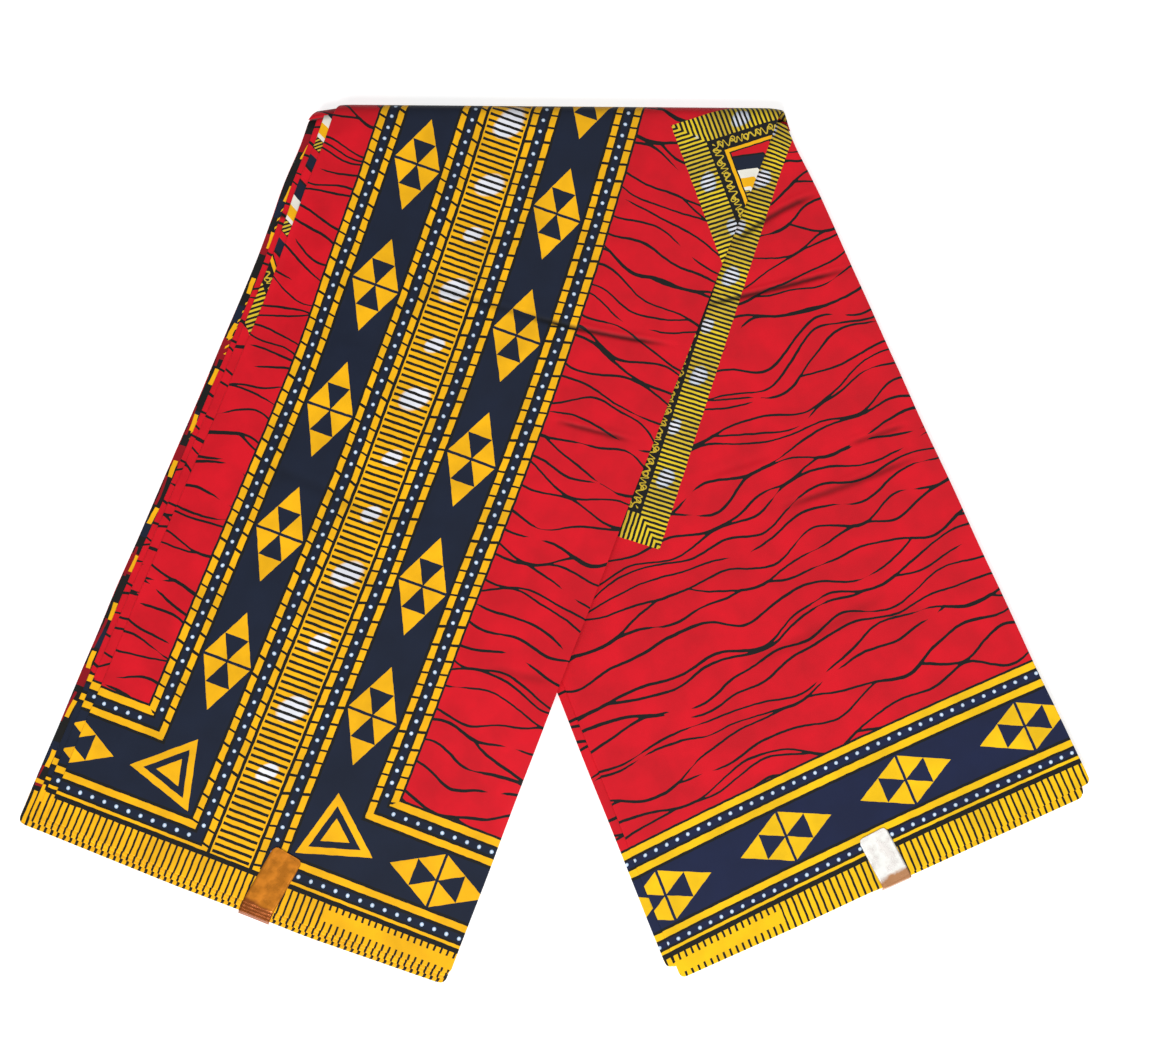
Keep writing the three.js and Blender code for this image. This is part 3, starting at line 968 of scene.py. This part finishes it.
def joined(name, shells):
    mesh = bmesh.new()
    for made in shells:
        data = made.data
        mesh.from_mesh(data)
        bpy.data.objects.remove(made)
        bpy.data.meshes.remove(data)
    return newPiece(name, mesh)


# A single fold, counted from the top of its leg
def singleFold(name, side, key, below, columns, **settings):
    top = legHeight - below * foldStep
    return foldShell(name, side, folds[side][key], top - cloth["wall"], top, columns, **settings)


# The right leg, from the table up
rightInner = joined("rightInnerFolds", hiddenShells("right"))
dress(rightInner, "edges", "inner_folds_right_leg")
rightSecond = singleFold("rightSecondFold", "right", "second", 1, 60, rows=120, printShift=(38, -3))
dress(rightSecond, "right", "second_fold_right_leg")
rightTop = singleFold("rightTopCloth", "right", "top", 0, 110, lively=True)
dress(rightTop, "right", "top_cloth_right_leg")
print("right leg made")

# The left leg, laid over it
leftInner = joined("leftInnerFolds", hiddenShells("left"))
dress(leftInner, "edges", "inner_folds_left_leg")
leftThird = singleFold("leftThirdFold", "left", "third", 2, 60, rows=120, printShift=(235, 6))
dress(leftThird, "left", "third_fold_left_leg")
leftSecond = singleFold("leftSecondFold", "left", "second", 1, 60, rows=120, printShift=(436, 2))
dress(leftSecond, "left", "second_fold_left_leg")
leftTop = singleFold("leftTopCloth", "left", "top", 0, 110, turned=True, lively=True)
dress(leftTop, "left", "top_cloth_left_leg")
print("left leg made")

turnShape = {
    "insets": [(0, 0), (0.9, 0.7), (0.2, 1.2), (1.1, 0.3), (0.4, 0.9), (1.3, 0.4)],
    "pitch": 1.15,
    "thick": 1.08,
    "forward": 0.3,
    "columns": 16,
    "roundEdge": (45, 0, -45),
    "printFrom": (100, 20),
    "printStep": (27, 9),
}


# The hidden folds where they turn over at the top: half rounds, one inside the other
def turnedBand(mesh, layer, outer, inner, insets, printShift):
    ends = []
    for side in ("left", "right"):
        leg = legs[side]
        left, right = leg["edges"][-1][1:]
        edges = folds[side]["hidden"][0]
        places = (left - edges[0], right + edges[1])
        ends.append([inPlan(leg, alongAtFold(leg, across), across).dot(foldAlong) for across in places])
    middle = (outer + inner) / 2
    half = (outer - inner) / 2
    arc = [math.radians(angle) for angle in turnShape["roundEdge"]]
    spans = turnShape["columns"]
    rings = []
    for step in range(turnSteps + 1):
        share = step / turnSteps
        turn = share * math.pi
        left = ends[0][0] + (ends[1][0] - ends[0][0]) * share + insets[0]
        right = ends[0][1] + (ends[1][1] - ends[0][1]) * share - insets[1]
        width = right - left - 2 * half
        profile = [(left + half + width * index / spans, outer) for index in range(spans + 1)]
        profile += [(right - half + half * math.cos(a), middle + half * math.sin(a)) for a in arc]
        profile += [(right - half - width * index / spans, inner) for index in range(spans + 1)]
        profile += [(left + half - half * math.cos(a), middle + half * math.sin(a)) for a in reversed(arc)]
        ring = []
        for along, radius in profile:
            forward = foldDistance + turnShape["forward"] + radius * math.sin(turn)
            flat = foldAlong * along + foldOut * forward
            vertex = mesh.verts.new((flat.x, flat.y, turnRadius + radius * math.cos(turn)))
            ring.append((vertex, (along + printShift[0], radius * turn + printShift[1])))
        rings.append(ring)
    addBands(mesh, layer, rings)
    addFace(mesh, layer, rings[0])
    addFace(mesh, layer, list(reversed(rings[-1])))


turnMesh = bmesh.new()
turnLayer = turnMesh.loops.layers.uv.new("Cloth")
turnOuter = turnRadius - cloth["wall"] - 2 * cloth["gap"]
for index, insets in enumerate(turnShape["insets"]):
    outer = turnOuter - index * turnShape["pitch"]
    shift = [start + index * step for start, step in zip(turnShape["printFrom"], turnShape["printStep"])]
    turnedBand(turnMesh, turnLayer, outer, outer - turnShape["thick"], insets, shift)
turnedFolds = finishMesh("turnedFolds", turnMesh)
dress(turnedFolds, "edges", "turned_folds")
print("turned folds made")

labels = {
    "left": {"x": -201.5, "y": -225.5, "lean": -29, "width": 22, "material": "copper", "slot": "copper_foil"},
    "right": {"x": 192, "y": -212.2, "lean": 27, "width": 21, "material": "pearl", "slot": "white_foil"},
}
labelShape = {
    "wall": 0.35,
    "gap": 0.35,
    "drop": 1.4,
    "corner": 3.2,
    "wrinkle": 0.3,
    "columns": 14,
    "rows": 150,
    "selvedgeNear": 85,  # from a label's upper end
    "lowest": 0.05,
}


# Each fold of a leg with the height of its upper side
def foldsOf(side):
    tops = ["top", "second", "third"] if side == "left" else ["top", "second"]
    listed = [(folds[side][key], legHeight - index * foldStep) for index, key in enumerate(tops)]
    inner = folds[side]["hidden"]
    for index, edges in enumerate(inner):
        listed.append((edges, hiddenTop[side] * (1 - index / len(inner))))
    return listed


# The height of the cloth below a label, down the steps of the selvedges
def faceUnder(side, plan):
    leg = legs[side]
    along = plan.dot(leg["down"])
    across = plan.dot(leg["across"])
    heights = []
    for edges, top in foldsOf(side):
        past = along - selvedgeOf(leg, edges, across) - labelShape["gap"]
        heights.append(top * (1 - max(0, min(1, past / labelShape["drop"]))))
    flatPart = smooth(selvedgeOf(leg, folds[side]["top"], across) - along, 0, 8)
    return max(heights) + relief(side, across, along) * flatPart


def foilLabel(name, side):
    shape = labels[side]
    lean = math.radians(shape["lean"])
    down = Vector((math.sin(lean), -math.cos(lean)))
    sideways = Vector((-down.y, down.x))
    middle = Vector((shape["x"], shape["y"]))
    leg = legs[side]
    allFolds = foldsOf(side)
    columns = labelShape["columns"]
    rows = labelShape["rows"]
    corner = labelShape["corner"]
    mesh = bmesh.new()
    layer = mesh.loops.layers.uv.new("Cloth")

    # where a line down the label starts, and how far it is to the last selvedge below it
    def lineAt(offset):
        start = middle + sideways * offset
        across = (start + down * labelShape["selvedgeNear"]).dot(leg["across"])
        last = max(selvedgeOf(leg, edges, across) for edges, top in allFolds)
        return start, (last - start.dot(leg["down"])) / down.dot(leg["down"])

    grids = []
    for upper in (True, False):
        grid = {}
        for row in range(rows + 1):
            for column in range(columns + 1):
                offset = (column / columns - 0.5) * shape["width"]
                start, ends = lineAt(offset)
                fromSide = shape["width"] / 2 - abs(offset)
                cut = max(corner - fromSide, 0)
                begin = corner - math.sqrt(corner**2 - cut**2) if cut else 0
                length = ends + labelShape["gap"] + labelShape["drop"]
                distance = begin + (length - begin) * (1 - (1 - row / rows) ** 1.6)
                plan = start + down * distance
                height = faceUnder(side, plan) + labelShape["gap"]
                wrinkle = noise.noise(Vector((offset / 6, distance / 9, 2.2))) * labelShape["wrinkle"]
                if upper:
                    height += labelShape["wall"]
                    plan = plan + down * (labelShape["wall"] * smooth(distance, ends - 9, ends))
                height += max(wrinkle, 0) * smooth(height, 1.5, 5)
                vertex = mesh.verts.new((plan.x, plan.y, max(height, labelShape["lowest"])))
                grid[row, column] = (vertex, (offset, distance))
        grids.append(grid)

    upper, lower = grids
    for row in range(rows):
        for column in range(columns):
            cell = [(row, column), (row + 1, column), (row + 1, column + 1), (row, column + 1)]
            addFace(mesh, layer, [upper[place] for place in cell])
            addFace(mesh, layer, [lower[place] for place in cell[:1] + cell[:0:-1]])
    rim = [(0, c) for c in range(columns)] + [(r, columns) for r in range(rows)]
    rim += [(rows, c) for c in range(columns, 0, -1)] + [(r, 0) for r in range(rows, 0, -1)]
    for here, there in zip(rim, rim[1:] + rim[:1]):
        addFace(mesh, layer, [upper[here], upper[there], lower[there], lower[here]])
    return finishMesh(name, mesh)


for side, shape in labels.items():
    label = foilLabel(f"{side}Label", side)
    dress(label, shape["material"], f"foil_label_{side}_leg")
print("labels made")

surfaceShape = {"reach": 3.0, "height": -0.0005}
surfaceLook = {
    "Base Color": (0.97, 0.97, 0.97, 1),
    "Roughness": 0.9,
    "Emission Color": (1, 1, 1, 1),
    "Emission Strength": 0.45,
}
reach = surfaceShape["reach"]
surfaceMesh = bpy.data.meshes.new("surface")
surfaceCorners = [(-reach, -reach, 0), (reach, -reach, 0), (reach, reach, 0), (-reach, reach, 0)]
surfaceMesh.from_pydata(surfaceCorners, [], [(0, 1, 2, 3)])
surface = bpy.data.objects.new("surface", surfaceMesh)
bpy.context.collection.objects.link(surface)
surface.location.z = surfaceShape["height"]
surfaceMaterial, surfaceTree, surfaceShader = newMaterial("surfaceWhite")
for name, value in surfaceLook.items():
    surfaceShader.inputs[name].default_value = value
surfaceMesh.materials.append(surfaceMaterial)

lamps = [
    {"name": "keyLight", "at": (-0.5, -2.3, 2.05), "size": 1.5, "power": 82},
    {"name": "fillLight", "at": (0.7, 0.6, 1.7), "size": 1.8, "power": 12},
]
for lamp in lamps:
    data = bpy.data.lights.new(lamp["name"], "AREA")
    data.energy = lamp["power"]
    data.size = lamp["size"]
    light = bpy.data.objects.new(lamp["name"], data)
    light.location = lamp["at"]
    light.rotation_euler = (-Vector(lamp["at"])).to_track_quat("-Z", "Y").to_euler()
    bpy.context.collection.objects.link(light)

world = bpy.data.worlds.new("softRoom")
bpy.context.scene.world = world
world.use_nodes = True
world.node_tree.nodes["Background"].inputs["Color"].default_value = (1, 1, 1, 1)
world.node_tree.nodes["Background"].inputs["Strength"].default_value = 0.27

view = {"lens": 50, "sensor": 36, "at": (0.02205, -0.00112 - 0.2056, 1.1315), "tilt": 10.3}
camera = bpy.data.objects.new("camera", bpy.data.cameras.new("camera"))
camera.data.lens = view["lens"]
camera.data.sensor_width = view["sensor"]
camera.location = view["at"]
camera.rotation_euler = (math.radians(view["tilt"]), 0, 0)
bpy.context.collection.objects.link(camera)
bpy.context.scene.camera = camera
bpy.context.scene.view_settings.view_transform = "Standard"
print("surface, lamps and camera made")
